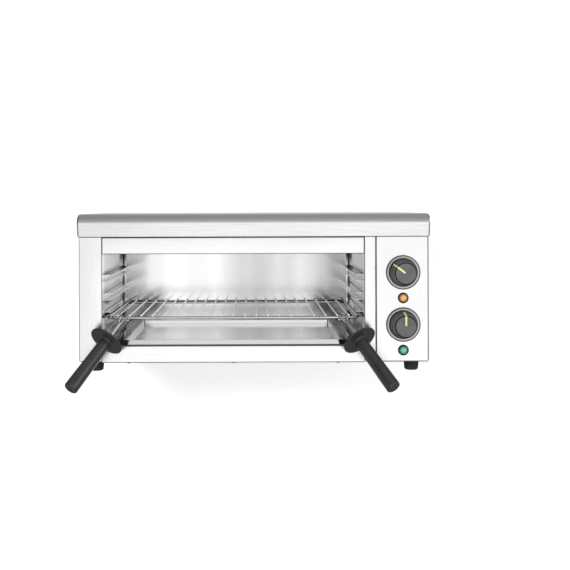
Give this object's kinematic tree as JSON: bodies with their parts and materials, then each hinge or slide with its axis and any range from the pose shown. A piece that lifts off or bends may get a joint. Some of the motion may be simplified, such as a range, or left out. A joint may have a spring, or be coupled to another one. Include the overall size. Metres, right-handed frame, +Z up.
{
  "type": "salamander grill",
  "caption": "Wall-mounted electric salamander grill: open-front heated cabinet with sliding grid, swinging handles, crumb tray and control knobs.",
  "frame": {"origin": "centre of the wall bracket's four holes, on the wall face", "axes": "+Z up, front faces -Y, +X to the right of someone facing the front"},
  "size_m": [0.6186, 0.4025, 0.2933],
  "materials": {
    "stainless_sheet": "bright satin",
    "brushed_hood": "fine brushed",
    "mirror_sheet": "mirror bright",
    "galvanised_sheet": "dull zinc",
    "element_tube": "heat darkened",
    "ceramic": "matte",
    "lamp_bezel": "gloss",
    "amber_lens": "gloss",
    "green_lens": "gloss",
    "dial_ring": "satin",
    "device_plastic": "matte",
    "fasteners": "bright",
    "rubber": "matte",
    "chromed_wire": "bright",
    "grip_plastic": "satin",
    "knob_plastic": "satin",
    "pointer_inlay": "satin"
  },
  "bodies": {
    "cabinet": {"top_cover": "brushed_hood", "left_side_panel": "stainless_sheet", "right_side_panel": "stainless_sheet", "right_post": "stainless_sheet", "lintel_panel": "stainless_sheet", "lower_front_panel": "stainless_sheet", "control_panel": "stainless_sheet", "cavity_left_wall": "stainless_sheet", "cavity_right_wall": "stainless_sheet", "cavity_back_wall": "mirror_sheet", "cavity_floor": "stainless_sheet", "heat_reflector": "stainless_sheet", "left_tray_guide": "stainless_sheet", "right_tray_guide": "stainless_sheet", "left_rails": "stainless_sheet", "right_rails": "stainless_sheet", "base_plate": "galvanised_sheet", "rear_panel": "galvanised_sheet", "compartment_wall": "galvanised_sheet", "element_supports": "galvanised_sheet", "wall_bracket": "galvanised_sheet", "hanging_rail": "galvanised_sheet", "front_element": "element_tube", "rear_element": "element_tube", "element_terminals": "ceramic", "terminal_block": "ceramic", "amber_lamp": "lamp_bezel", "green_lamp": "lamp_bezel", "amber_lens": "amber_lens", "green_lens": "green_lens", "upper_bezel": "dial_ring", "lower_bezel": "dial_ring", "timer": "device_plastic", "energy_regulator": "device_plastic", "cable_gland": "device_plastic", "control_nuts": "fasteners", "earth_stud": "fasteners", "foot_screws": "fasteners", "bottom_screws": "fasteners", "hood_screws": "fasteners", "rear_screws": "fasteners", "rail_screws": "fasteners", "feet": "rubber", "rear_buffers": "rubber"},
    "grid": {"grid_frame": "chromed_wire", "grid_wires": "chromed_wire"},
    "crumb_tray_body": {"crumb_tray": "mirror_sheet"},
    "left_handle": {"left_hook": "chromed_wire", "left_tube": "chromed_wire", "left_grip": "grip_plastic"},
    "right_handle": {"right_hook": "chromed_wire", "right_tube": "chromed_wire", "right_grip": "grip_plastic"},
    "upper_control": {"upper_knob": "knob_plastic", "upper_pointer": "pointer_inlay", "upper_spindle": "fasteners"},
    "lower_control": {"lower_knob": "knob_plastic", "lower_pointer": "pointer_inlay", "lower_spindle": "fasteners"}
  },
  "joints": [
    {"name": "grid_slide", "type": "slide", "parent": "cabinet", "child": "grid", "axis": [0, -1, 0], "range_m": [0, 0.18]},
    {"name": "tray_slide", "type": "slide", "parent": "cabinet", "child": "crumb_tray_body", "axis": [0, -1, 0], "range_m": [0, 0.2]},
    {"name": "left_handle_swing", "type": "hinge", "parent": "grid", "child": "left_handle", "pos_m": [-0.22765, -0.291, -0.0742], "axis": [-1, 0, 0], "range_deg": [0, 55]},
    {"name": "right_handle_swing", "type": "hinge", "parent": "grid", "child": "right_handle", "pos_m": [0.15615, -0.291, -0.0742], "axis": [-1, 0, 0], "range_deg": [0, 55]},
    {"name": "upper_knob_turn", "type": "hinge", "parent": "cabinet", "child": "upper_control", "pos_m": [0.2603, -0.31, 0.0048], "axis": [0, 1, 0], "range_deg": [-308, 7]},
    {"name": "lower_knob_turn", "type": "hinge", "parent": "cabinet", "child": "lower_control", "pos_m": [0.2603, -0.31, -0.0861], "axis": [0, 1, 0], "range_deg": [0, 300]}
  ]
}
